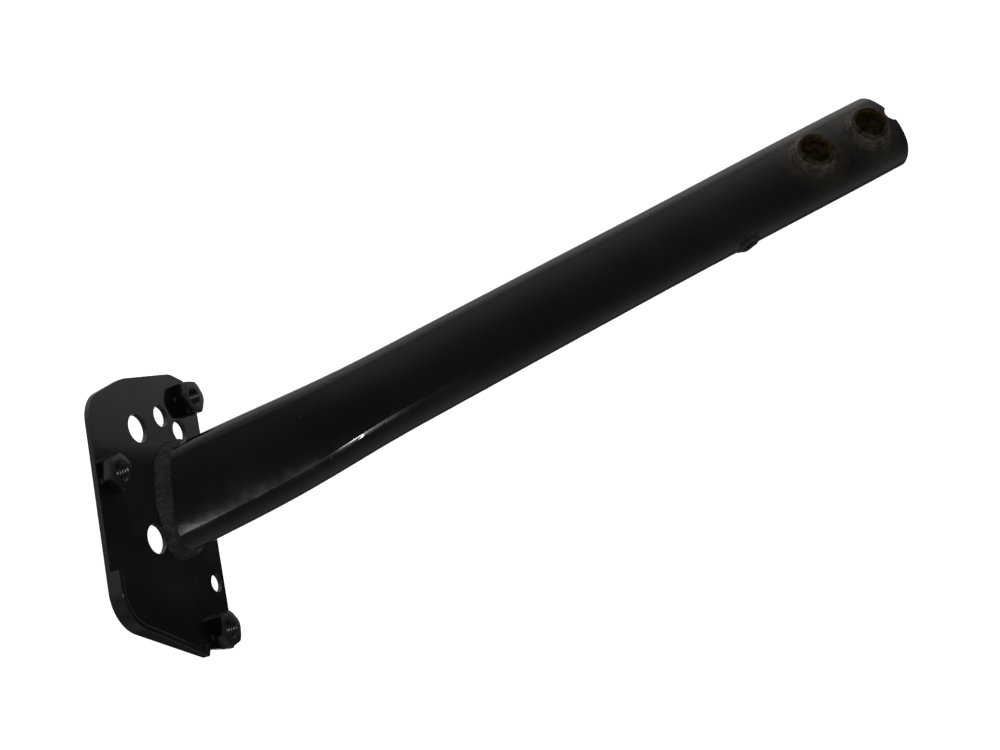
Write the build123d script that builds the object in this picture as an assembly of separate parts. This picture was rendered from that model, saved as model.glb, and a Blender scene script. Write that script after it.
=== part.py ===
"""Kickstand leg: a flat-sided oval tube with two pivot bushes, welded to a stamped foot plate."""

import os
from math import atan2, cos, exp, hypot, pi, radians, sin, tan

from build123d import *

# ---- Driving dimensions, in millimetres and degrees ----

clear = 200.0  # how far a cutter reaches, well past anything it cuts
nearly = 0.01  # two radii this close are the same one

# Leg tube: a flat-sided oval section that is deepest at the bushes and flattened at the foot bend.
# A station is the distance along the leg from the outer bush, towards the foot.
mid_width, mid_depth = 41.3, 22.0
bush_width, bush_depth = 43.3, 25.2
foot_width, foot_depth = 44.7, 19.4
side_roundness = 0.86  # radius of the narrow sides as a share of half the depth
foot_twist = 10.0  # the oval turns about the tube's axis in the bend
taper_from, taper_to = 0.0, 150.0
flatten_from, flatten_to = 285.0, 365.0
wall = 2.4
bow_start, bow_radius = 14.0, 11130.0
bend_start, bend_radius, bend_angle = 314.0, 480.0, 5.68
open_end_x = 18.0
open_end_radius = 68.0
tube_overrun = 60.0
section_step = 20.0
notch_radius, notch_y = 4.6, 1.3
notch_beyond_end = 1.6

# Pivot bushes and their weld rings
bush_pitch = 36.4
inner_bush_offset = 0.8  # the inner bush sits this far off the outer one's line, towards +Y
bush_bore_radius = 7.75
bush_outer_radius = 9.8
bush_half_length = 18.0
bush_chamfer = 0.8
bush_weld_base_radius = 13.7
bush_weld_top_gap = 1.8
bush_weld_top_width = 0.7
bush_weld_below_face = 1.4

# Foot plate: its own frame has u down the plate, v across it, and w towards the tube
plate_origin = (-395.02, 28.08, 22.0)
plate_down = (-0.331, -0.924, -0.189)
plate_normal = (0.764, -0.381, 0.521)
sheet = 2.3
plate_left, plate_right = -30.9, 45.6
plate_bottom = 93.4
shoulder = (-8.5, plate_left)
shoulder_peak = (-20.9, -6.6)
upper_peak = (-28.8, 28.5)
upper_corner = (-25.9, plate_right)
lower_corner = (82.7, plate_left)
tongue_tip = (96.7, 25.4)
tongue_root = (plate_bottom, 26.6)
shoulder_radius, shoulder_peak_radius = 15.0, 30.0
upper_peak_radius, upper_corner_radius = 12.0, 11.0
lower_corner_radius = 17.0
square_corner_radius = 1.6
tongue_radius = 1.4

# Holes through the plate: (u, v, radius)
large_holes = [(0.0, 0.0, 6.2), (47.2, 2.1, 6.3)]
middle_holes = [(-7.7, 17.4, 4.8), (-2.5, 29.9, 4.9)]
small_holes = [(64.9, 39.8, 4.0)]

# Corner lip, bent up towards the tube along the lower left corner
lip_height = 4.2
lip_end_height = 0.6
lip_start_u = 62.0
lip_end_v = 27.5
lip_ramp_overrun = 6.0  # the sloping cut goes this far past the tongue, and this far above the lip

# Weld nuts, M8, on the plate: name, u, v and turn about the plate's normal
weld_nuts = [("left", 22.4, -22.0, 25.0), ("upper", -17.9, 36.9, 8.0), ("lower", 86.0, 36.9, 20.0)]
nut_across_flats = 14.0
nut_height = 5.6
nut_thread_radius = 3.4
nut_pilot_radius = 5.25
nut_pilot_depth = 1.9
nut_chamfer_angle = 20.0
nut_face_margin = 0.35  # the free face's circle is this much wider than the flats
nut_mouth_chamfer = 0.7
nugget_radius = 1.3

# Weld bead between tube and plate
foot_station = 393.0  # where the tube's axis meets the plate
bead_leg = 2.7
bead_height = 4.0
bead_toe = 0.35
bead_crown = 0.5
bead_thin_at = (-13.0, 6.0)  # where the bead passes the lower large hole, in the tube's section
bead_thin_by, bead_thin_reach = 2.1, 11.0
arc_points = 9

# Small M6 nut let into the narrow side of the tube
side_nut_station = 92.3
side_nut_z = 0.6
side_nut_flats = 10.0
side_nut_height = 5.0
side_nut_proud = 0.8
side_nut_thread_radius = 2.5
side_weld_radius = 7.6
side_weld_below_face = 0.4
side_weld_top_margin = 0.6
side_weld_depth = 3.0
side_nut_hole_depth = 8.0

# ---- Frames ----

plate_frame = Plane(origin=plate_origin, x_dir=plate_down, z_dir=plate_normal)


def on_plate(u, v, w=0.0):
    """Location of a point of the plate's frame, with its axes along u, v and w."""
    return plate_frame.location * Location((u, v, w))


def ramp(value, start, end):
    """0 before start, 1 after end, and a smooth step between."""
    t = min(max((value - start) / (end - start), 0.0), 1.0)
    return t * t * (3.0 - 2.0 * t)


# ---- Leg tube ----

def axis_at(station):
    """Point on the tube's axis and the axis' angle above the straight leg, at a station."""
    bow_run = min(max(station - bow_start, 0.0), bend_start - bow_start)
    bow = -bow_run / bow_radius
    height = -bow_run**2 / (2.0 * bow_radius)
    x = -min(station, bend_start)
    if station <= bend_start:
        return x, height, bow
    turn_run = min(station - bend_start, bend_radius * radians(bend_angle))
    turn = turn_run / bend_radius
    x -= bend_radius * (sin(bow + turn) - sin(bow))
    height += bend_radius * (cos(bow) - cos(bow + turn))
    straight = station - bend_start - turn_run
    return x - straight * cos(bow + turn), height + straight * sin(bow + turn), bow + turn


def section_size(station):
    """Width and depth of the tube at a station."""
    near_bush = 1.0 - ramp(station, taper_from, taper_to)
    near_foot = ramp(station, flatten_from, flatten_to)
    width = mid_width + (bush_width - mid_width) * near_bush + (foot_width - mid_width) * near_foot
    depth = mid_depth + (bush_depth - mid_depth) * near_bush + (foot_depth - mid_depth) * near_foot
    return width, depth


def section_plane(station):
    """Plane across the tube at a station, facing the foot, with its x along row +Y."""
    x, z, angle = axis_at(station)
    return Plane(origin=(x, 0, z), x_dir=(0, 1, 0), z_dir=(-cos(angle), 0, sin(angle)))


def section_shape(station, inset=0.0):
    """Half-widths and radii of the four-arc oval: side centre, side radius, face radius, face centre."""
    width, depth = section_size(station)
    side_radius = side_roundness * depth / 2.0
    side_centre = width / 2.0 - side_radius
    face_radius = (side_centre**2 + depth**2 / 4.0 - side_radius**2) / (depth - 2.0 * side_radius)
    face_centre = depth / 2.0 - face_radius
    return side_centre, side_radius - inset, face_radius - inset, face_centre


def section_face(station, inset=0.0):
    """The tube's oval section at a station, made smaller by inset on every side."""
    side_centre, side_radius, face_radius, face_centre = section_shape(station, inset)
    share = face_radius / (face_radius - side_radius)
    x = side_centre * share
    y = face_centre - face_centre * share
    top = face_centre + face_radius
    end = side_centre + side_radius
    outline = [
        ThreePointArc((x, y), (0, top), (-x, y)),
        ThreePointArc((-x, y), (-end, 0), (-x, -y)),
        ThreePointArc((-x, -y), (0, -top), (x, -y)),
        ThreePointArc((x, -y), (end, 0), (x, y)),
    ]
    twist = foot_twist * ramp(station, flatten_from, flatten_to)
    return section_plane(station) * Rot(0, 0, -twist) * make_face(outline)


def tube_body(inset=0.0):
    """Solid swept by the section from beyond the open end to beyond the plate."""
    last = bend_start + bend_radius * radians(bend_angle) + tube_overrun
    count = round((last + 2.0 * open_end_x) / section_step)
    first = -2.0 * open_end_x
    stations = [first + (last - first) * i / count for i in range(count + 1)]
    return loft([section_face(s, inset) for s in stations])


def behind_plate():
    """Block that fills the space behind the plate's front face."""
    size = 2.0 * clear
    return plate_frame.location * Box(size, size, size, align=(Align.CENTER, Align.CENTER, Align.MAX))


def bush_centres():
    return [("outer", 0.0, 0.0), ("inner", -bush_pitch, inner_bush_offset)]


def side_nut_frame():
    """Frame on the narrow side that faces -Y, with its z pointing out of the tube."""
    width, _ = section_size(side_nut_station)
    x, z, _ = axis_at(side_nut_station)
    return Plane(origin=(x, -width / 2.0, z + side_nut_z), x_dir=(1, 0, 0), z_dir=(0, -1, 0))


def make_leg_tube(outside):
    tube = outside - tube_body(wall)
    tube -= behind_plate()
    end_disc = Pos(open_end_x - open_end_radius, 0, 0) * Cylinder(open_end_radius, clear)
    keep_left = Box(3.0 * clear, clear, clear, align=(Align.MAX, Align.CENTER, Align.CENTER))
    tube &= end_disc + keep_left
    tube -= Pos(open_end_x + notch_beyond_end, notch_y, 0) * Cylinder(notch_radius, clear)
    for _, x, y in bush_centres():
        tube -= Pos(x, y, 0) * Cylinder(bush_outer_radius, clear)
    hexagon = RegularPolygon(side_nut_flats / 2.0, 6, major_radius=False)
    tube -= side_nut_frame().location * extrude(hexagon, side_nut_hole_depth, both=True)
    return tube


# ---- Pivot bushes ----

def make_bush(x, y):
    """Sleeve through both walls of the tube."""
    bush = Cylinder(bush_outer_radius, 2.0 * bush_half_length)
    bush -= Cylinder(bush_bore_radius, 2.0 * bush_half_length)
    ends = bush.edges().filter_by(GeomType.CIRCLE)
    return Pos(x, y, 0) * chamfer(ends, bush_chamfer)


def make_bush_weld(x, y, side, outside):
    """Conical fillet between a bush and the wide face on one side of the tube."""
    top = bush_half_length - bush_weld_top_gap
    top_radius = bush_outer_radius + bush_weld_top_width
    profile = Plane.XZ * Polyline(
        (bush_outer_radius, 0),
        (bush_weld_base_radius, 0),
        (bush_weld_base_radius, bush_depth / 2.0 - bush_weld_below_face),
        (top_radius, top),
        (bush_outer_radius, top),
        close=True,
    )
    ring = revolve(make_face(profile), Axis.Z)
    if side < 0:
        ring = Rot(180, 0, 0) * ring
    return (Pos(x, y, 0) * ring) - outside


# ---- Foot plate ----

def rounded_outline(corners):
    """Closed face through corners, each given as (u, v, radius)."""
    outline = make_face(Polyline(*[(u, v) for u, v, _ in corners], close=True))
    for u, v, radius in corners:
        vertex = outline.vertices().sort_by_distance((u, v, 0))[0]
        if radius > 0:
            outline = fillet(vertex, radius)
    return outline


def plate_outline():
    return rounded_outline([
        (*shoulder, shoulder_radius),
        (*shoulder_peak, shoulder_peak_radius),
        (*upper_peak, upper_peak_radius),
        (*upper_corner, upper_corner_radius),
        (plate_bottom, plate_right, square_corner_radius),
        (*tongue_root, 0),
        (*tongue_tip, tongue_radius),
        (*lower_corner, lower_corner_radius),
    ])


def lip_band():
    """Band of the outline along the lower left corner, as wide as the sheet is thick."""
    outline = plate_outline()
    inner = offset(outline, -sheet)
    if isinstance(inner, Sketch):
        inner = inner.faces()[0]
    band = outline - inner
    window = Pos(lip_start_u, lip_end_v, 0) * Rectangle(clear, clear, align=(Align.MIN, Align.MAX))
    return band & window


def make_foot_plate():
    body = extrude(plate_outline(), -sheet)
    lip = extrude(lip_band(), lip_height)
    run = tongue_tip[1] - lower_corner[1]
    fall = lip_height - lip_end_height
    slope_start = lower_corner[1] + lower_corner_radius
    slope_end = tongue_tip[1] + lip_ramp_overrun
    above = lip_height + lip_ramp_overrun
    ramp_profile = Polyline(
        (slope_start, lip_height),
        (slope_end, lip_end_height - fall * lip_ramp_overrun / run),
        (slope_end, above),
        (slope_start, above),
        close=True,
    )
    lip -= extrude(make_face(Plane.YZ * ramp_profile), clear)
    body += lip
    for u, v, radius in large_holes + middle_holes + small_holes:
        body -= Pos(u, v, 0) * Cylinder(radius, 4.0 * sheet)
    for _, u, v, _ in weld_nuts:
        body -= Pos(u, v, 0) * Cylinder(nut_pilot_radius, 4.0 * sheet)
    return plate_frame.location * body


# ---- Weld nuts ----

def nut_blank(flats, height):
    """Hexagonal blank with its free face, at the top, chamfered as nuts are."""
    blank = extrude(RegularPolygon(flats / 2.0, 6, major_radius=False), height)
    face_radius = flats / 2.0 + nut_face_margin
    cone_height = 2.0 * height
    base_radius = face_radius + cone_height / tan(radians(nut_chamfer_angle))
    cap = Pos(0, 0, height) * Cone(
        base_radius, face_radius, cone_height, align=(Align.CENTER, Align.CENTER, Align.MAX)
    )
    return blank & cap


def make_weld_nut(u, v, turn):
    nut = nut_blank(nut_across_flats, nut_height)
    nut += extrude(Circle(nut_pilot_radius), -nut_pilot_depth)
    nut -= Cylinder(nut_thread_radius, 4.0 * nut_height)
    mouths = nut.edges().filter_by(GeomType.CIRCLE).filter_by(
        lambda edge: abs(edge.radius - nut_thread_radius) < nearly
    )
    nut = chamfer(mouths, nut_mouth_chamfer)
    return on_plate(u, v) * Rot(0, 0, turn) * nut


def make_nut_nuggets(u, v, turn, nut):
    """Three beads of weld squeezed out beside the nut's flats."""
    reach = nut_across_flats / 2.0
    upper_half = on_plate(u, v) * Box(clear, clear, clear, align=(Align.CENTER, Align.CENTER, Align.MIN))
    beads = []
    for third in range(3):
        angle = radians(turn + 30.0 + 120.0 * third)
        ball = on_plate(u + reach * cos(angle), v + reach * sin(angle)) * Sphere(nugget_radius)
        beads.append(((ball & upper_half) - nut).solids()[0])
    return beads


# ---- Weld between tube and plate ----

def oval_points(station, margin):
    """Points round the oval section, each moved outwards by margin(x, y), in the section's plane."""
    side_centre, side_radius, face_radius, face_centre = section_shape(station)
    tip = atan2(side_centre, -face_centre)
    points = []
    for quarter in range(4):
        across = quarter % 2 == 1
        sign = 1 if quarter < 2 else -1
        middle = pi / 2.0 * (quarter + 1)
        half = pi / 2.0 - tip if across else tip
        radius = side_radius if across else face_radius
        centre = (-sign * side_centre, 0.0) if across else (0.0, sign * face_centre)
        for step in range(arc_points):
            angle = middle + half * (2.0 * (step + 0.5) / arc_points - 1.0)
            x = centre[0] + radius * cos(angle)
            y = centre[1] + radius * sin(angle)
            out = margin(x, y)
            points.append((x + out * cos(angle), y + out * sin(angle)))
    return points


def footprint(w, margin):
    """Closed face at height w over the plate, outside the tube's section by margin(x, y)."""
    plane = section_plane(foot_station)
    normal = Vector(*plate_normal)
    level = (plate_frame.location * Location((0, 0, w))).position
    points = []
    for x, y in oval_points(foot_station, margin):
        turned_x = x * cos(radians(foot_twist)) + y * sin(radians(foot_twist))
        turned_y = y * cos(radians(foot_twist)) - x * sin(radians(foot_twist))
        start = plane.from_local_coords(Vector(turned_x, turned_y, 0))
        gap = (level - start).dot(normal) / plane.z_dir.dot(normal)
        points.append(start + plane.z_dir * gap)
    return make_face(Spline(*points, periodic=True))


def bead_margin(x, y):
    """Reach of the bead over the plate, least where it passes the lower large hole."""
    near = hypot(x - bead_thin_at[0], -y - bead_thin_at[1]) / bead_thin_reach
    return bead_leg - bead_thin_by * exp(-near * near)


def make_foot_weld(outside):
    lower = footprint(0.0, bead_margin)
    middle = footprint(bead_height / 2.0, lambda x, y: bead_margin(x, y) / 2.0 + bead_crown)
    upper = footprint(bead_height, lambda x, y: bead_toe)
    bead = loft([lower, middle, upper])
    return bead - outside


# ---- Side nut ----

def make_side_nut():
    blank = nut_blank(side_nut_flats, side_nut_height)
    blank -= Cylinder(side_nut_thread_radius, 4.0 * side_nut_height)
    return side_nut_frame().location * (Pos(0, 0, side_nut_proud - side_nut_height) * blank)


def make_side_nut_weld(outside):
    """Low collar of weld on the tube's round side, about the nut."""
    top_radius = side_nut_flats / 2.0 + side_weld_top_margin
    height = side_nut_proud + side_weld_depth
    collar = Cone(side_weld_radius, top_radius, height, align=(Align.CENTER, Align.CENTER, Align.MAX))
    collar = Pos(0, 0, side_nut_proud - side_weld_below_face) * collar
    collar -= extrude(RegularPolygon(side_nut_flats / 2.0, 6, major_radius=False), clear, both=True)
    return (side_nut_frame().location * collar) - outside


# ---- Build and write ----

def save(shape, node):
    export_step(shape, f"parts/{node}.step")


def main():
    os.makedirs("parts", exist_ok=True)
    outside = tube_body()
    save(make_leg_tube(outside), "leg_tube")
    save(make_foot_plate(), "foot_plate")
    save(make_foot_weld(outside), "foot_weld")
    for name, x, y in bush_centres():
        save(make_bush(x, y), f"{name}_pivot_bush")
        for face, side in (("top", 1), ("bottom", -1)):
            save(make_bush_weld(x, y, side, outside), f"{name}_bush_{face}_weld")
    for name, u, v, turn in weld_nuts:
        nut = make_weld_nut(u, v, turn)
        save(nut, f"{name}_weld_nut")
        save(Compound(make_nut_nuggets(u, v, turn, nut)), f"{name}_nut_weld_spots")
    save(make_side_nut(), "side_nut")
    save(make_side_nut_weld(outside), "side_nut_weld")


main()
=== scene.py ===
import math
from collections import namedtuple

import bmesh
import bpy
import numpy as np
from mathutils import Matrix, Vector, noise as lumps


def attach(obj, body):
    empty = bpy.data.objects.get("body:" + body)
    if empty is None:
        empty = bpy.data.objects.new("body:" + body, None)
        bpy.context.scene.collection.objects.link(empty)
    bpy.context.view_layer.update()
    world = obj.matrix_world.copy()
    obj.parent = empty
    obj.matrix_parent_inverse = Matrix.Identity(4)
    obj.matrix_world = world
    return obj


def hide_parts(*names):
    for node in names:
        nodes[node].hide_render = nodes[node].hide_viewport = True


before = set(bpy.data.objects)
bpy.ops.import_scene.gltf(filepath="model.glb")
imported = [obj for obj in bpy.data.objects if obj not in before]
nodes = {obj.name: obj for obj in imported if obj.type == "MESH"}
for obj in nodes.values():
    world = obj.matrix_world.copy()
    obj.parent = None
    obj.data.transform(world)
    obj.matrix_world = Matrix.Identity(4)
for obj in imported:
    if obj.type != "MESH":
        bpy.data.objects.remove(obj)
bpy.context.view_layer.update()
MM = 0.001
FULL_TURN = 2.0 * math.pi

# ---- Camera, in the part's frame, in metres ----
CAMERA_PLACE = Vector((-0.4491, -0.2214, 0.5382))
CAMERA_FORWARD = Vector((0.3407, 0.3306, -0.8801))
CAMERA_UP = Vector((0.4453, 0.7677, 0.4608))
LENS_MM, SENSOR_MM = 47.88, 36.0
CAMERA_NEAR = 0.01

# ---- Floor, in metres ----
FLOOR_TILT = math.radians(2.3)
FLOOR_UNDER_BUSH = -0.0186
FLOOR_SIZE = 8.0
FLOOR_GLOW = 0.98

# ---- Room light: levels over ranges of the y or z of a ray's direction ----
SKY_RANGE, SKY_LEVELS, SKY_BASE = (0.0, 0.6), (0.16, 0.78), 0.078
PAST_LEG_RANGE, PAST_LEG_LEVELS = (-0.06, 0.05), (0.03, 0.46)
NEAR_SIDE_RANGE, NEAR_SIDE_LEVELS = (-0.7, -0.3), (0.25, 0.0)
HORIZON_RANGE = (-0.16, 0.02)
LAMP_PLACE, LAMP_TARGET = (-0.282, -0.214, 0.45), (-0.34, 0.0, 0.0)
LAMP_LENGTH, LAMP_WIDTH, LAMP_WATTS = 0.05, 0.022, 0.5

# ---- The leg's shape, as in the CAD, in millimetres ----
MID_WIDTH, MID_DEPTH = 41.3, 22.0
BUSH_WIDTH, BUSH_DEPTH = 43.3, 25.2
FOOT_WIDTH, FOOT_DEPTH = 44.7, 19.4
SIDE_ROUNDNESS = 0.86
FOOT_TWIST = math.radians(10.0)
TAPER = (0.0, 150.0)
FLATTEN = (285.0, 365.0)
BOW_START, BOW_RADIUS = 14.0, 11130.0
BEND_START, BEND_RADIUS, BEND_ANGLE = 314.0, 480.0, math.radians(5.68)
FOOT_STATION = 393.0
PLATE_ORIGIN = np.array((-395.02, 28.08, 22.0))
PLATE_DOWN = np.array((-0.331, -0.924, -0.189))
PLATE_NORMAL = np.array((0.764, -0.381, 0.521))

# ---- Bushes and their welds, in millimetres ----
BUSHES = {"outer": (0.0, 0.0), "inner": (-36.4, 0.8)}
BUSH_RADIUS, BUSH_BORE = 9.8, 7.75
BUSH_WELD_TOP, BUSH_WELD_REACH, BUSH_WELD_WANDER = 16.3, 13.9, 0.7
BUSH_WELD_RIPPLES, BUSH_WELD_HOLLOW = 19, 1.25
BUSH_WELD_BITE, BUSH_WELD_TOE, BUSH_WELD_SKIRT, BUSH_WELD_ROOT = 0.05, 0.25, 1.2, 6.0

# ---- Nuts, in millimetres ----
Nut = namedtuple("Nut", "flats height core thread_depth pitch")
PLATE_NUT = Nut(14.0, 5.6, 3.4, 0.6, 1.25)
SIDE_NUT = Nut(10.0, 5.0, 2.5, 0.5, 1.0)
WELD_NUTS = {"left": (22.4, -22.0, 25.0), "upper": (-17.9, 36.9, 8.0), "lower": (86.0, 36.9, 20.0)}
NUT_PILOT_RADIUS, NUT_PILOT_DEPTH = 5.25, 1.9
NUT_CORNER_EASE, NUT_CROWN, NUT_CHAMFER = 0.12, 0.30, math.radians(24.0)
THREAD_MOUTH, THREAD_CREST = 0.7, 0.85
SIDE_NUT_STATION, SIDE_NUT_Z, SIDE_NUT_PROUD = 92.3, 0.6, 0.8

# ---- Weld round the foot and collar round the side nut, in millimetres ----
BEAD_LEG, BEAD_HEIGHT, BEAD_TOE = 2.7, 4.0, 0.35
BEAD_THIN_AT, BEAD_THIN_BY, BEAD_THIN_REACH = (-13.0, 6.0), 2.1, 11.0
BEAD_BULGE, BEAD_SINK, BEAD_ROOT = 0.55, 0.05, 1.2
COLLAR_REACH, COLLAR_WANDER, COLLAR_HEIGHT = 7.4, 0.8, 1.1
COLLAR_BITE, COLLAR_TOE, COLLAR_SKIRT, COLLAR_ROOT = 0.1, 0.15, 1.2, 2.4
WELD_SHARP, NUT_SHARP = math.radians(75.0), math.radians(38.0)

# ---- Eased edges of the plate ----
LIP_EASE_MM, PLATE_EASE_MM = 1.1, 0.3
LIP_RISE_MM = 0.5
SHARP_EDGE = math.radians(38.0)
FLAT_ENOUGH = math.radians(0.5)
SAME_POINT = 0.00001

# ---- Colours ----
PAINT_COLOUR = (0.0028, 0.0029, 0.0032, 1)
PAINT_DUSTY = (0.0085, 0.0083, 0.0080, 1)
STAIN_COLOUR = (0.045, 0.033, 0.014, 1)
# Pale grey of the dust specks and scratches on the paint, also used for the painted glints (painted
# highlights) on the welds.
DUST_AND_GLINT_COLOUR = (0.20, 0.19, 0.18, 1)
RUST_DARK = (0.009, 0.005, 0.0017, 1)
RUST_BRIGHT = (0.105, 0.058, 0.012, 1)
WELD_DARK = (0.007, 0.006, 0.005, 1)
WELD_BROWN = (0.075, 0.050, 0.030, 1)
FOOT_WELD_DARK = (0.007, 0.0065, 0.0065, 1)
FOOT_WELD_BROWN = (0.026, 0.022, 0.020, 1)

# ---- Gloss, dust and marks ----
PAINT_GLOSS, NUT_GLOSS = (0.10, 0.17), (0.22, 0.36)
PAINT_SPECULAR, WELD_SPECULAR, BUSH_SPECULAR = 0.5, 0.3, 0.12
MARK_ROUGHNESS = 0.7
GRAIN_CORE, GRAIN_CHOICE = 0.6, 0.01
# Width of a scratch in metres, and the shares of it where the scratch starts to fade and is gone
MARK_WIDTH, MARK_SOLID, MARK_GONE = 0.00022, 0.4, 1.4
# The stain is full inside the first distance from a bore's axis, and gone at the second
STAIN_RANGE, STAIN_UNEVENNESS = (12.5 * MM, 21.0 * MM), 3.0 * MM
# Scratches on the leg, each as two ends in the part's frame, in millimetres
LEG_SCRATCHES = [
    ((-146.6, -11.5, 10.1), (-149.1, -16.6, 7.9)),
    ((-327.6, -10.6, 6.2), (-324.0, -11.4, 6.4)),
    ((-356.8, -13.2, 6.4), (-354.6, -15.4, 6.4)),
]


# ---- Small helpers for shader nodes ----

def new_material(name):
    material = bpy.data.materials.new(name)
    material.use_nodes = True
    tree = material.node_tree
    return material, tree, tree.nodes["Principled BSDF"]


def add_node(tree, kind, **sockets):
    node = tree.nodes.new(kind)
    for key, value in sockets.items():
        node.inputs[key.replace("_", " ")].default_value = value
    return node


def link(tree, source, target):
    tree.links.new(source, target)


def object_point(tree):
    return tree.nodes.new("ShaderNodeTexCoord").outputs["Object"]


def noise(tree, point, scale, detail=3.0, roughness=0.5):
    node = add_node(tree, "ShaderNodeTexNoise", Scale=scale, Detail=detail, Roughness=roughness)
    link(tree, point, node.inputs["Vector"])
    return node.outputs["Fac"]


def remap(tree, value, source, target=(0.0, 1.0)):
    """Carries the source range over to the target range and holds the ends."""
    node = tree.nodes.new("ShaderNodeMapRange")
    for name, number in zip(("From Min", "From Max", "To Min", "To Max"), (*source, *target)):
        node.inputs[name].default_value = number
    link(tree, value, node.inputs["Value"])
    return node.outputs["Result"]


def maths(tree, operation, a, b=None):
    node = tree.nodes.new("ShaderNodeMath")
    node.operation = operation
    for socket, value in zip(node.inputs, (a, b)):
        if value is None:
            continue
        if isinstance(value, (int, float)):
            socket.default_value = value
        else:
            link(tree, value, socket)
    return node.outputs["Value"]


def vector_maths(tree, operation, a, b=None):
    node = tree.nodes.new("ShaderNodeVectorMath")
    node.operation = operation
    for socket, value in zip(node.inputs, (a, b)):
        if value is None:
            continue
        if isinstance(value, (tuple, Vector)):
            socket.default_value = value
        else:
            link(tree, value, socket)
    return node.outputs["Value" if operation in ("LENGTH", "DOT_PRODUCT") else "Vector"]


def mix_colour(tree, factor, a, b):
    node = tree.nodes.new("ShaderNodeMix")
    node.data_type = "RGBA"
    link(tree, factor, node.inputs["Factor"])
    for name, value in (("A", a), ("B", b)):
        socket = [s for s in node.inputs if s.name == name and s.type == "RGBA"][0]
        if isinstance(value, tuple):
            socket.default_value = value
        else:
            link(tree, value, socket)
    return [s for s in node.outputs if s.type == "RGBA"][0]


def bump(tree, height, strength, distance, before=None):
    node = add_node(tree, "ShaderNodeBump", Strength=strength, Distance=distance)
    link(tree, height, node.inputs["Height"])
    if before is not None:
        link(tree, before, node.inputs["Normal"])
    return node.outputs["Normal"]


# ---- Materials ----

def specks(tree, point, scale, size, bare):
    """Small dust grains: the middles of random cells, with the bare share of the cells left out."""
    cells = add_node(tree, "ShaderNodeTexVoronoi", Scale=scale)
    link(tree, point, cells.inputs["Vector"])
    grain = remap(tree, cells.outputs["Distance"], (size * GRAIN_CORE, size), (1.0, 0.0))
    separate = tree.nodes.new("ShaderNodeSeparateColor")
    link(tree, cells.outputs["Color"], separate.inputs["Color"])
    chosen = remap(tree, separate.outputs["Red"], (bare, bare + GRAIN_CHOICE))
    return maths(tree, "MULTIPLY", grain, chosen)


def scratch(tree, point, start, end):
    """A short mark between two points, by the distance to the line between them."""
    along = (Vector(end) - Vector(start)) * MM
    offset = vector_maths(tree, "SUBTRACT", point, tuple(Vector(start) * MM))
    progress = vector_maths(tree, "DOT_PRODUCT", offset, tuple(along))
    share = maths(tree, "DIVIDE", progress, along.length_squared)
    clamped = maths(tree, "MINIMUM", maths(tree, "MAXIMUM", share, 0.0), 1.0)
    nearest = tree.nodes.new("ShaderNodeVectorMath")
    nearest.operation = "SCALE"
    nearest.inputs[0].default_value = tuple(along)
    link(tree, clamped, nearest.inputs["Scale"])
    gap = vector_maths(tree, "SUBTRACT", offset, nearest.outputs["Vector"])
    distance = vector_maths(tree, "LENGTH", gap)
    return remap(tree, distance, (MARK_WIDTH * MARK_SOLID, MARK_WIDTH * MARK_GONE), (1.0, 0.0))


def bore_distance(tree, point, unevenness):
    """Distance from the nearest bush's axis, in metres, made ragged by noise."""
    flat = vector_maths(tree, "MULTIPLY", point, (1.0, 1.0, 0.0))
    gaps = []
    for x, y in BUSHES.values():
        offset = vector_maths(tree, "SUBTRACT", flat, (x * MM, y * MM, 0.0))
        gaps.append(vector_maths(tree, "LENGTH", offset))
    radius = maths(tree, "MINIMUM", *gaps)
    cloud = noise(tree, point, scale=420.0, detail=4.0)
    ragged = remap(tree, cloud, (0.3, 0.7), (-unevenness, unevenness))
    return maths(tree, "ADD", radius, ragged)


def bore_stain(tree, point, colour):
    """Brown dirt in clouds on the paint round the bores."""
    around = remap(tree, bore_distance(tree, point, STAIN_UNEVENNESS), STAIN_RANGE, (1.0, 0.0))
    cloud = noise(tree, point, scale=210.0, detail=6.0, roughness=0.65)
    patches = remap(tree, cloud, (0.35, 0.6), (0.25, 1.0))
    return mix_colour(tree, maths(tree, "MULTIPLY", around, patches), colour, STAIN_COLOUR)


def black_paint(name, gloss, scratches=(), stained=False):
    """Glossy black paint with orange peel, dust and dirt clouds."""
    material, tree, shader = new_material(name)
    point = object_point(tree)
    film = maths(tree, "MULTIPLY", specks(tree, point, scale=380.0, size=0.16, bare=0.975), 0.16)
    grains = maths(tree, "MULTIPLY", specks(tree, point, scale=130.0, size=0.045, bare=0.88), 0.7)
    marks = maths(tree, "MAXIMUM", film, grains)
    for start, end in scratches:
        marks = maths(tree, "MAXIMUM", marks, scratch(tree, point, start, end))
    dirt = remap(tree, noise(tree, point, scale=26.0, detail=5.0), (0.45, 0.72), (0.0, 0.8))
    colour = mix_colour(tree, dirt, PAINT_COLOUR, PAINT_DUSTY)
    if stained:
        colour = bore_stain(tree, point, colour)
    link(tree, mix_colour(tree, marks, colour, DUST_AND_GLINT_COLOUR), shader.inputs["Base Color"])
    rough = remap(tree, noise(tree, point, scale=70.0, detail=5.0), (0.3, 0.7), gloss)
    marked = maths(tree, "MULTIPLY", marks, MARK_ROUGHNESS)
    link(tree, maths(tree, "MAXIMUM", rough, marked), shader.inputs["Roughness"])
    shader.inputs["Specular IOR Level"].default_value = PAINT_SPECULAR
    peel = bump(tree, noise(tree, point, scale=520.0, detail=2.0), strength=0.015, distance=0.0006)
    wave = bump(tree, noise(tree, point, scale=38.0), strength=0.010, distance=0.004, before=peel)
    link(tree, wave, shader.inputs["Normal"])
    return material


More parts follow.
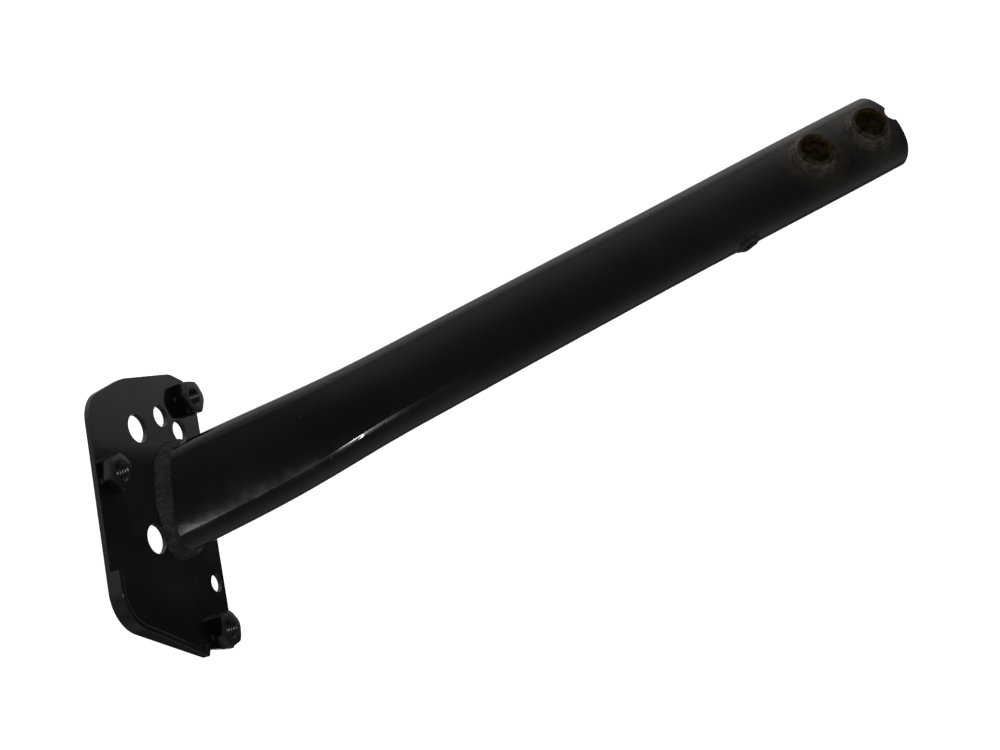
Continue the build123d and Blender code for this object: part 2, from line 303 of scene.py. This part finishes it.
def weld_metal(name, dark, brown, brown_from, near_bush=False):
    """Painted-over weld: dull, grainy, with brown where the paint is thin, and pale specks painted on as
    glints (painted highlights).
    """
    material, tree, shader = new_material(name)
    point = object_point(tree)
    cloud = noise(tree, point, scale=190.0, detail=6.0, roughness=0.65)
    thin = remap(tree, cloud, (brown_from, brown_from + 0.2))
    if near_bush:
        fade = remap(tree, bore_distance(tree, point, MM), (10.0 * MM, 14.0 * MM), (1.0, 0.2))
        thin = maths(tree, "MULTIPLY", thin, fade)
    colour = mix_colour(tree, thin, dark, brown)
    grit = maths(tree, "MULTIPLY", specks(tree, point, scale=900.0, size=0.3, bare=0.95), 0.5)
    # Pale specks painted into the colour as glints of light: painted highlights, denser on the bush beads,
    # mixed with the real grit above.
    painted_glints = specks(tree, point, scale=330.0, size=0.12, bare=0.93 if near_bush else 0.985)
    grit_and_painted_glints = maths(tree, "MAXIMUM", grit, painted_glints)
    link(tree, mix_colour(tree, grit_and_painted_glints, colour, DUST_AND_GLINT_COLOUR), shader.inputs["Base Color"])
    rough = remap(tree, noise(tree, point, scale=340.0), (0.35, 0.65), (0.18, 0.6))
    link(tree, rough, shader.inputs["Roughness"])
    shader.inputs["Specular IOR Level"].default_value = WELD_SPECULAR
    cloud = noise(tree, point, scale=1100.0, detail=5.0, roughness=0.7)
    link(tree, bump(tree, cloud, strength=0.5, distance=0.0006), shader.inputs["Normal"])
    return material


def bush_metal():
    """Rusty bore, dirty painted rim: told apart by the distance from the nearest bore's axis."""
    material, tree, shader = new_material("bush_steel")
    point = object_point(tree)
    patches = remap(tree, noise(tree, point, scale=230.0, detail=6.0, roughness=0.7), (0.40, 0.64))
    rust = mix_colour(tree, patches, RUST_DARK, RUST_BRIGHT)
    ragged = bore_distance(tree, point, 0.4 * MM)
    outside = remap(tree, ragged, ((BUSH_BORE + 0.1) * MM, (BUSH_BORE + 0.6) * MM))
    brown = remap(tree, noise(tree, point, scale=300.0, detail=6.0, roughness=0.7), (0.42, 0.62))
    dirty = mix_colour(tree, brown, WELD_DARK, WELD_BROWN)
    link(tree, mix_colour(tree, outside, rust, dirty), shader.inputs["Base Color"])
    shader.inputs["Roughness"].default_value = 0.5
    shader.inputs["Specular IOR Level"].default_value = BUSH_SPECULAR
    cloud = noise(tree, point, scale=700.0, detail=6.0, roughness=0.7)
    link(tree, bump(tree, cloud, strength=0.6, distance=0.0008), shader.inputs["Normal"])
    return material


def plain_white_floor():
    material, _, shader = new_material("studio_floor")
    shader.inputs["Base Color"].default_value = (0.9, 0.9, 0.9, 1)
    shader.inputs["Roughness"].default_value = 0.9
    shader.inputs["Emission Color"].default_value = (1, 1, 1, 1)
    shader.inputs["Emission Strength"].default_value = FLOOR_GLOW
    return material


# ---- Studio ----

def make_camera():
    data = bpy.data.cameras.new("camera")
    data.lens = LENS_MM
    data.sensor_width = SENSOR_MM
    data.sensor_fit = "HORIZONTAL"
    data.clip_start = CAMERA_NEAR
    camera = bpy.data.objects.new("camera", data)
    bpy.context.scene.collection.objects.link(camera)
    back = -CAMERA_FORWARD.normalized()
    right = CAMERA_UP.cross(back).normalized()
    up = back.cross(right)
    matrix = camera.matrix_world.to_3x3()
    for row in range(3):
        matrix[row] = (right[row], up[row], back[row])
    camera.matrix_world = matrix.to_4x4()
    camera.location = CAMERA_PLACE
    bpy.context.scene.camera = camera


def make_floor():
    bpy.ops.mesh.primitive_plane_add(size=FLOOR_SIZE)
    floor = bpy.context.object
    floor.name = "studio_floor"
    floor.rotation_euler = (0.0, -FLOOR_TILT, 0.0)
    floor.location = (0.0, 0.0, FLOOR_UNDER_BUSH)
    floor.data.materials.append(plain_white_floor())
    floor.visible_glossy = False


def make_light(name, place, target, length, width, watts):
    data = bpy.data.lights.new(name, "AREA")
    data.shape = "RECTANGLE"
    data.size = length
    data.size_y = width
    data.energy = watts
    light = bpy.data.objects.new(name, data)
    bpy.context.scene.collection.objects.link(light)
    light.location = place
    direction = Vector(target) - Vector(place)
    light.rotation_euler = direction.to_track_quat("-Z", "Y").to_euler()


def make_world():
    """A dim room: dark overhead, brighter towards the horizon and behind the leg."""
    world = bpy.data.worlds.new("studio")
    world.use_nodes = True
    tree = world.node_tree
    background = tree.nodes["Background"]
    background.inputs["Color"].default_value = (1, 1, 1, 1)
    direction = tree.nodes.new("ShaderNodeTexCoord").outputs["Generated"]
    split = tree.nodes.new("ShaderNodeSeparateXYZ")
    link(tree, direction, split.inputs["Vector"])
    y, z = split.outputs["Y"], split.outputs["Z"]
    behind = remap(tree, y, SKY_RANGE, SKY_LEVELS)
    lowered = maths(tree, "MULTIPLY", behind, maths(tree, "SUBTRACT", 1.0, z))
    sky = maths(tree, "ADD", lowered, SKY_BASE)
    past_leg = remap(tree, y, PAST_LEG_RANGE, PAST_LEG_LEVELS)
    near_side = remap(tree, y, NEAR_SIDE_RANGE, NEAR_SIDE_LEVELS)
    ground = maths(tree, "ADD", past_leg, near_side)
    share = remap(tree, z, HORIZON_RANGE)
    upper = maths(tree, "MULTIPLY", sky, share)
    lower = maths(tree, "MULTIPLY", ground, maths(tree, "SUBTRACT", 1.0, share))
    level = maths(tree, "ADD", upper, lower)
    link(tree, level, background.inputs["Strength"])
    bpy.context.scene.world = world


def make_studio():
    make_camera()
    make_floor()
    make_world()
    make_light("overhead_lamp", LAMP_PLACE, LAMP_TARGET, LAMP_LENGTH, LAMP_WIDTH, LAMP_WATTS)
    bpy.context.scene.view_settings.view_transform = "Standard"


# ---- Shapes ----

def ramp(value, start, end):
    """0 before start, 1 after end, and a smooth step between."""
    t = min(max((value - start) / (end - start), 0.0), 1.0)
    return t * t * (3.0 - 2.0 * t)


def axis_at(station):
    """Point on the leg's axis and the axis' angle above the straight leg, at a station."""
    bow_run = min(max(station - BOW_START, 0.0), BEND_START - BOW_START)
    bow = -bow_run / BOW_RADIUS
    height = -bow_run**2 / (2.0 * BOW_RADIUS)
    x = -min(station, BEND_START)
    if station <= BEND_START:
        return x, height, bow
    turn_run = min(station - BEND_START, BEND_RADIUS * BEND_ANGLE)
    turn = turn_run / BEND_RADIUS
    x -= BEND_RADIUS * (math.sin(bow + turn) - math.sin(bow))
    height += BEND_RADIUS * (math.cos(bow) - math.cos(bow + turn))
    straight = station - BEND_START - turn_run
    return x - straight * math.cos(bow + turn), height + straight * math.sin(bow + turn), bow + turn


def section_shape(station):
    """Side centre, side radius, face radius and face centre of the four-arc oval."""
    near_bush = 1.0 - ramp(station, *TAPER)
    near_foot = ramp(station, *FLATTEN)
    width = MID_WIDTH + (BUSH_WIDTH - MID_WIDTH) * near_bush + (FOOT_WIDTH - MID_WIDTH) * near_foot
    depth = MID_DEPTH + (BUSH_DEPTH - MID_DEPTH) * near_bush + (FOOT_DEPTH - MID_DEPTH) * near_foot
    side_radius = SIDE_ROUNDNESS * depth / 2.0
    side_centre = width / 2.0 - side_radius
    face_radius = (side_centre**2 + depth**2 / 4.0 - side_radius**2) / (depth - 2.0 * side_radius)
    return side_centre, side_radius, face_radius, depth / 2.0 - face_radius


def face_height(station, y):
    """Height of the leg's wide face over its axis, at a distance y from the middle."""
    side_centre, side_radius, face_radius, face_centre = section_shape(station)
    edge = side_centre * face_radius / (face_radius - side_radius)
    if abs(y) <= edge:
        return face_centre + math.sqrt(face_radius**2 - y**2)
    return math.sqrt(max(side_radius**2 - (abs(y) - side_centre) ** 2, 0.0))


def oval_point(station, turn):
    """Point and outward normal of the oval at a share of the way round, in the section's plane."""
    side_centre, side_radius, face_radius, face_centre = section_shape(station)
    tip = math.atan2(side_centre, -face_centre)
    lengths = [2.0 * tip * face_radius, (math.pi - 2.0 * tip) * side_radius] * 2
    run = (turn % 1.0) * sum(lengths)
    quarter = 0
    while run > lengths[quarter]:
        run -= lengths[quarter]
        quarter += 1
    across = quarter % 2 == 1
    sign = 1 if quarter < 2 else -1
    half = math.pi / 2.0 - tip if across else tip
    angle = math.pi / 2.0 * (quarter + 1) + half * (2.0 * run / lengths[quarter] - 1.0)
    radius = side_radius if across else face_radius
    centre = (-sign * side_centre, 0.0) if across else (0.0, sign * face_centre)
    normal = np.array((math.cos(angle), math.sin(angle)))
    return np.array(centre) + radius * normal, normal


def plate_axes():
    normal = PLATE_NORMAL / np.linalg.norm(PLATE_NORMAL)
    down = PLATE_DOWN - normal * (PLATE_DOWN @ normal)
    down = down / np.linalg.norm(down)
    return down, np.cross(normal, down), normal


def on_plate(u, v, w=0.0):
    down, across, normal = plate_axes()
    return PLATE_ORIGIN + u * down + v * across + w * normal


def closed_grid(name, rings, material, replaced, sharp_angle):
    """Mesh of rings, each a closed loop of points in millimetres, with the last ring joined to the first."""
    points = np.array(rings, float) * MM
    count, around = points.shape[:2]
    faces = []
    for i in range(count):
        for j in range(around):
            a, b = i * around + j, i * around + (j + 1) % around
            c, d = ((i + 1) % count) * around + (j + 1) % around, ((i + 1) % count) * around + j
            faces.append((a, b, c, d))
    mesh = bpy.data.meshes.new(name)
    corners = points.reshape(-1, 3)
    mesh.from_pydata(corners.tolist(), [], faces)
    first, second, third, fourth = np.moveaxis(corners[np.array(faces)], 1, 0)
    volume = np.sum(first * (np.cross(second, third) + np.cross(third, fourth)))
    if volume < 0:
        mesh.flip_normals()
    mesh.polygons.foreach_set("use_smooth", [True] * len(mesh.polygons))
    mesh.set_sharp_from_angle(angle=sharp_angle)
    mesh.materials.append(material)
    piece = bpy.data.objects.new(name, mesh)
    bpy.context.scene.collection.objects.link(piece)
    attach(piece, "root")
    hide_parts(replaced)


def lump(x, y, z, size, seed):
    """Smooth noise between about -1 and 1, for points in millimetres."""
    return lumps.noise(Vector((x / size + seed, y / size, z / size)))


# ---- Bush welds ----

def bush_weld(name, side, x0, y0, material):
    """A rough cone of weld with layered ripples, from the sleeve down to the leg's wide face."""
    rings = []
    steps, shape_steps = 220, 26
    seed = 7.0 * x0 + 31.0 * side
    inner = BUSH_RADIUS - BUSH_WELD_BITE
    root = side * (face_height(-x0, 0.0) - BUSH_WELD_ROOT)
    for i in range(steps):
        angle = FULL_TURN * i / steps
        ray = np.array((math.cos(angle), math.sin(angle)))
        reach = BUSH_WELD_REACH + BUSH_WELD_WANDER * lump(4.0 * ray[0], 4.0 * ray[1], seed, 2.4, 0.5)
        sway = 0.8 * lump(ray[0], ray[1], seed, 0.8, 3.0)
        ripple = abs(math.sin(BUSH_WELD_RIPPLES / 2.0 * angle + sway))
        ring = []
        for k in range(shape_steps + 1):
            q = k / shape_steps
            r = inner + (reach - BUSH_RADIUS) * q
            px, py = x0 + r * ray[0], y0 + r * ray[1]
            _, axis_z, _ = axis_at(-px)
            ground = face_height(-px, py)
            slope = (1.0 - q) ** BUSH_WELD_HOLLOW
            z = ground - BUSH_WELD_TOE + (BUSH_WELD_TOP - ground + BUSH_WELD_TOE) * slope
            belly = 4.0 * q * (1.0 - q)
            ripples = belly * (0.3 * ripple - 0.1)
            coarse = (0.35 + 0.7 * belly) * lump(px, py, seed, 2.6, 9.0) * (1.0 - q**4)
            fine = 0.45 * belly * lump(px, py, seed, 1.1, 5.0)
            layers = 0.25 * belly * math.sin(FULL_TURN * (3.0 * q + 0.6 * lump(px, py, seed, 4.0, 1.0)))
            ring.append((px, py, side * (z + ripples + coarse + fine + layers) + axis_z))
        toe_x, toe_y, toe_z = ring[-1]
        ring.append((toe_x, toe_y, toe_z - side * BUSH_WELD_SKIRT))
        ring.append((x0 + inner * ray[0], y0 + inner * ray[1], root))
        rings.append(ring)
    label = "top" if side > 0 else "bottom"
    bead_name = f"{name}_bush_{label}_bead"
    closed_grid(bead_name, rings, material, f"{name}_bush_{label}_weld", WELD_SHARP)


# ---- Weld round the foot ----

def slide_to_plate(point, w):
    """Moves a point of the foot section along the leg until it is w over the plate."""
    x, z, angle = axis_at(FOOT_STATION)
    along = np.array((-math.cos(angle), 0.0, math.sin(angle)))
    across = np.array((0.0, 1.0, 0.0))
    up = np.cross(along, across)
    turned = (
        point[0] * math.cos(FOOT_TWIST) + point[1] * math.sin(FOOT_TWIST),
        point[1] * math.cos(FOOT_TWIST) - point[0] * math.sin(FOOT_TWIST),
    )
    start = np.array((x, 0.0, z)) + turned[0] * across + turned[1] * up
    _, _, normal = plate_axes()
    level = on_plate(0.0, 0.0, w)
    return start + along * ((level - start) @ normal) / (along @ normal)


def foot_weld(material):
    """Bead all round the foot, with crossways ripples and an uneven toe."""
    rings = []
    steps, shape_steps, ripple_steps = 420, 12, 11.0
    for i in range(steps):
        turn = i / steps
        point, normal = oval_point(FOOT_STATION, turn)
        near = math.hypot(point[0] - BEAD_THIN_AT[0], -point[1] - BEAD_THIN_AT[1]) / BEAD_THIN_REACH
        leg = BEAD_LEG - BEAD_THIN_BY * math.exp(-near * near)
        leg += 0.35 * lump(point[0], point[1], 0.0, 4.0, 2.0) * min(leg, 1.0)
        sway = 0.7 * lump(point[0], point[1], 0.0, 3.0, 6.0)
        ripple = abs(math.sin(math.pi * steps * turn / ripple_steps + sway))
        ring = []
        for k in range(shape_steps + 1):
            q = k / shape_steps
            bulge = math.sin(math.pi * q)
            out = leg + (BEAD_TOE - leg) * q + BEAD_BULGE * bulge
            out += bulge * (0.22 * ripple + 0.22 * lump(point[0], point[1], 5.0 * q, 1.6, 8.0))
            height = -BEAD_SINK + (BEAD_HEIGHT + BEAD_SINK) * q + 0.3 * bulge
            height += 0.4 * lump(point[0], point[1], 3.0, 2.2, 4.0) * q
            if k == shape_steps:
                out = -0.1
            ring.append(slide_to_plate(point + normal * out, height))
        ring.append(slide_to_plate(point - normal * BEAD_ROOT, BEAD_HEIGHT * 0.5))
        ring.append(slide_to_plate(point - normal * BEAD_ROOT, -BEAD_SINK))
        rings.append(ring)
    closed_grid("foot_bead", rings, material, "foot_weld", WELD_SHARP)


# ---- Nuts ----

def hexagon_reach(flats, angle):
    """Distance from a hexagon's middle to its side, with slightly eased corners."""
    sector = (angle + math.pi / 6.0) % (math.pi / 3.0) - math.pi / 6.0
    reach = flats / 2.0 / math.cos(sector)
    limit = flats / math.sqrt(3.0) - NUT_CORNER_EASE
    return min(reach, limit)


def threaded_nut(name, place, nut, turn, base, material, replaced):
    """Hexagon nut with thread ridges. base lists (radius, height) points under the nut's seat."""
    steps, thread_steps = 144, 56
    low = base[-1][1]
    rings = []
    for i in range(steps):
        angle = FULL_TURN * i / steps
        profile = []
        for k in range(thread_steps + 1):
            z = low + (nut.height - low) * k / thread_steps
            phase = (z / nut.pitch - i / steps) % 1.0
            groove = nut.thread_depth * (1.0 - abs(2.0 * phase - 1.0))
            mouth = max(0.0, z - (nut.height - THREAD_MOUTH)) + max(0.0, low + THREAD_MOUTH - z)
            profile.append((nut.core + max(min(groove, nut.thread_depth * THREAD_CREST), mouth), z))
        side = hexagon_reach(nut.flats, angle - math.radians(turn))
        circle = nut.flats / 2.0 + NUT_CROWN
        shoulder = nut.height - max(0.0, side - circle) * math.tan(NUT_CHAMFER)
        profile += [(min(circle, side) - 0.18, nut.height), (min(circle, side) - 0.02, nut.height - 0.06)]
        profile += [(side - 0.05, shoulder - 0.1), (side, shoulder - 0.28)]
        profile += [(side, 0.25), (side - 0.12, 0.0), *base]
        rings.append([place(r * math.cos(angle), r * math.sin(angle), z) for r, z in profile])
    closed_grid(name, rings, material, replaced, NUT_SHARP)


def weld_nut(name, u, v, turn, material):
    def place(x, y, z):
        return on_plate(u + x, v + y, z)

    pilot = [(NUT_PILOT_RADIUS, 0.0), (NUT_PILOT_RADIUS, -NUT_PILOT_DEPTH)]
    threaded_nut(f"{name}_hex_nut", place, PLATE_NUT, turn, pilot, material, f"{name}_weld_nut")


def side_nut_place(x, y, z):
    """Point of the small nut's own frame: z out of the leg's narrow side, towards -Y."""
    near_bush = 1.0 - ramp(SIDE_NUT_STATION, *TAPER)
    width = MID_WIDTH + (BUSH_WIDTH - MID_WIDTH) * near_bush
    axis_x, axis_z, _ = axis_at(SIDE_NUT_STATION)
    return np.array((axis_x + x, -width / 2.0 - z, axis_z + SIDE_NUT_Z + y))


def side_nut(material):
    def place(x, y, z):
        return side_nut_place(x, y, z + SIDE_NUT_PROUD - SIDE_NUT.height)

    seat = [(SIDE_NUT.core + 1.0, 0.0)]
    threaded_nut("side_hex_nut", place, SIDE_NUT, 0.0, seat, material, "side_nut")


def side_nut_bead(material):
    """Rough collar of weld round the small nut, lying on the leg's narrow side."""
    rings = []
    steps, shape_steps = 120, 10
    for i in range(steps):
        angle = FULL_TURN * i / steps
        ray = (math.cos(angle), math.sin(angle))
        inner = hexagon_reach(SIDE_NUT.flats, angle) - COLLAR_BITE
        outer = COLLAR_REACH + COLLAR_WANDER * lump(4.0 * ray[0], 4.0 * ray[1], 2.0, 2.2, 1.0)
        ring = []
        for k in range(shape_steps + 1):
            q = k / shape_steps
            r = inner + (outer - inner) * q
            x, y = r * ray[0], r * ray[1]
            _, side_radius, _, _ = section_shape(SIDE_NUT_STATION - x)
            height = y + SIDE_NUT_Z
            ground = math.sqrt(max(side_radius**2 - height**2, 0.0)) - side_radius
            crest = COLLAR_HEIGHT + 0.5 * lump(x, y, 0.0, 1.8, 3.0)
            top = ground - COLLAR_TOE + crest * math.cos(math.pi / 2.0 * q)
            ring.append(side_nut_place(x, y, top + 0.15 * lump(x, y, 0.0, 0.8, 7.0) * (1.0 - q)))
        ring.append(side_nut_place(outer * ray[0], outer * ray[1], ground - COLLAR_SKIRT))
        ring.append(side_nut_place(inner * ray[0], inner * ray[1], -COLLAR_ROOT))
        rings.append(ring)
    closed_grid("side_nut_bead", rings, material, "side_nut_weld", WELD_SHARP)


# ---- CAD pieces with eased edges ----

def eased_copy(node, name, width_mm, material):
    """The CAD node's own mesh with its sharp edges rounded a little, as stamped and painted edges are."""
    shape = bmesh.new()
    shape.from_mesh(nodes[node].data)
    bmesh.ops.remove_doubles(shape, verts=shape.verts, dist=SAME_POINT)
    bmesh.ops.dissolve_limit(
        shape,
        angle_limit=FLAT_ENOUGH,
        use_dissolve_boundaries=False,
        verts=shape.verts,
        edges=shape.edges,
    )
    for face in shape.faces:
        face.smooth = True
    _, _, plate_normal = plate_axes()
    weight = shape.edges.layers.float.new("bevel_weight_edge")
    for edge in shape.edges:
        if edge.is_manifold and edge.calc_face_angle() > SHARP_EDGE:
            heights = [(np.array(v.co) / MM - PLATE_ORIGIN) @ plate_normal for v in edge.verts]
            lip = min(heights) > LIP_RISE_MM or not edge.is_convex
            edge[weight] = 1.0 if lip else width_mm / LIP_EASE_MM
    plain = bpy.data.meshes.new(name + "_plain")
    shape.to_mesh(plain)
    shape.free()
    piece = bpy.data.objects.new(name, plain)
    bpy.context.scene.collection.objects.link(piece)
    ease = piece.modifiers.new("ease", "BEVEL")
    ease.width = LIP_EASE_MM * MM
    ease.segments = 4
    ease.limit_method = "WEIGHT"
    flatten = piece.modifiers.new("flatten", "WEIGHTED_NORMAL")
    flatten.weight = 100
    bpy.context.view_layer.update()
    graph = bpy.context.evaluated_depsgraph_get()
    eased = bpy.data.meshes.new_from_object(piece.evaluated_get(graph))
    piece.modifiers.clear()
    piece.data = eased
    bpy.data.meshes.remove(plain)
    eased.name = name
    eased.materials.clear()
    eased.materials.append(material)
    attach(piece, "root")
    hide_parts(node)


def set_material(node, material):
    mesh = nodes[node].data
    if not mesh.materials:
        mesh.materials.append(material)
    for index in range(len(mesh.materials)):
        mesh.materials[index] = material


# ---- Build ----

leg_paint = black_paint("frame_paint", PAINT_GLOSS, LEG_SCRATCHES, stained=True)
plate_paint = black_paint("plate_paint", PAINT_GLOSS)
nut_paint = black_paint("nut_paint", NUT_GLOSS)
bead = weld_metal("weld_bead", WELD_DARK, WELD_BROWN, brown_from=0.36, near_bush=True)
foot_bead_metal = weld_metal("foot_weld_bead", FOOT_WELD_DARK, FOOT_WELD_BROWN, brown_from=0.42)
bush = bush_metal()

set_material("leg_tube", leg_paint)
for label, (bush_x, bush_y) in BUSHES.items():
    set_material(f"{label}_pivot_bush", bush)
    for face_side in (1, -1):
        bush_weld(label, face_side, bush_x, bush_y, bead)
for label, (nut_u, nut_v, nut_turn) in WELD_NUTS.items():
    weld_nut(label, nut_u, nut_v, nut_turn, nut_paint)
    set_material(f"{label}_nut_weld_spots", foot_bead_metal)
foot_weld(foot_bead_metal)
eased_copy("foot_plate", "stamped_foot_plate", PLATE_EASE_MM, plate_paint)
side_nut(nut_paint)
side_nut_bead(foot_bead_metal)
make_studio()

# ---- Finish ----
bpy.context.view_layer.update()
